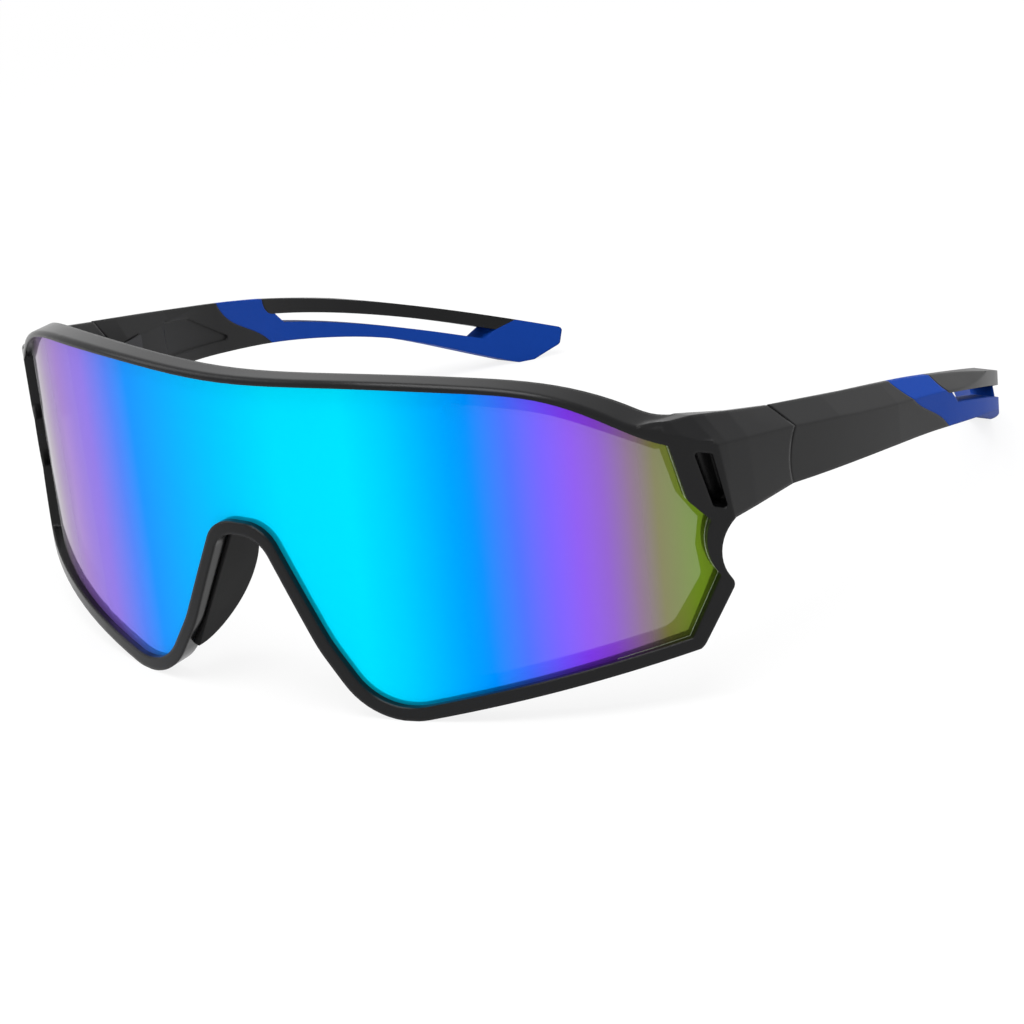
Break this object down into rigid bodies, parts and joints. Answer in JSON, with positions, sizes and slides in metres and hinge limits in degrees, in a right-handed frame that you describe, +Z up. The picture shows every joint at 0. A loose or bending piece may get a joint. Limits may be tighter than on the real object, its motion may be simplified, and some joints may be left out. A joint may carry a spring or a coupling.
{
  "type": "wraparound sport sunglasses",
  "caption": "Wraparound sunglasses: a curved mirror shield in a notched moulded front, with folding hooked temples and rubber grips.",
  "frame": {"origin": "on the table plane the glasses stand on, below the middle of their bounding box", "axes": "+Z up off the table; -Y is where the wearer looks; +X is the wearer's left; the temples run to +Y"},
  "size_m": [0.147, 0.1576, 0.0552],
  "materials": {
    "lens_mirror": "multicolour mirror coat on polycarbonate",
    "frame_gloss": "glossy black",
    "temple_satin": "satin black",
    "grip_rubber": "matte blue",
    "pad_rubber": "matte black",
    "hinge_steel": "blackened",
    "screw_steel": "bright"
  },
  "bodies": {
    "front": {"front_frame": "frame_gloss", "shield_lens": "lens_mirror", "nose_pad_left": "pad_rubber", "nose_pad_right": "pad_rubber", "front_hinge_left": "hinge_steel", "front_hinge_right": "hinge_steel", "hinge_screw_left": "screw_steel", "hinge_screw_right": "screw_steel"},
    "left_arm": {"temple_left": "temple_satin", "temple_grip_left": "grip_rubber", "temple_hinge_left": "hinge_steel"},
    "right_arm": {"temple_right": "temple_satin", "temple_grip_right": "grip_rubber", "temple_hinge_right": "hinge_steel"}
  },
  "joints": [
    {"name": "temple_left_hinge", "type": "hinge", "parent": "front", "child": "left_arm", "pos_m": [0.0639, -0.03134, 0.0325], "axis": [0, 0, 1], "range_deg": [0, 90]},
    {"name": "temple_right_hinge", "type": "hinge", "parent": "front", "child": "right_arm", "pos_m": [-0.0639, -0.03134, 0.0325], "axis": [0, 0, -1], "range_deg": [0, 80]}
  ]
}
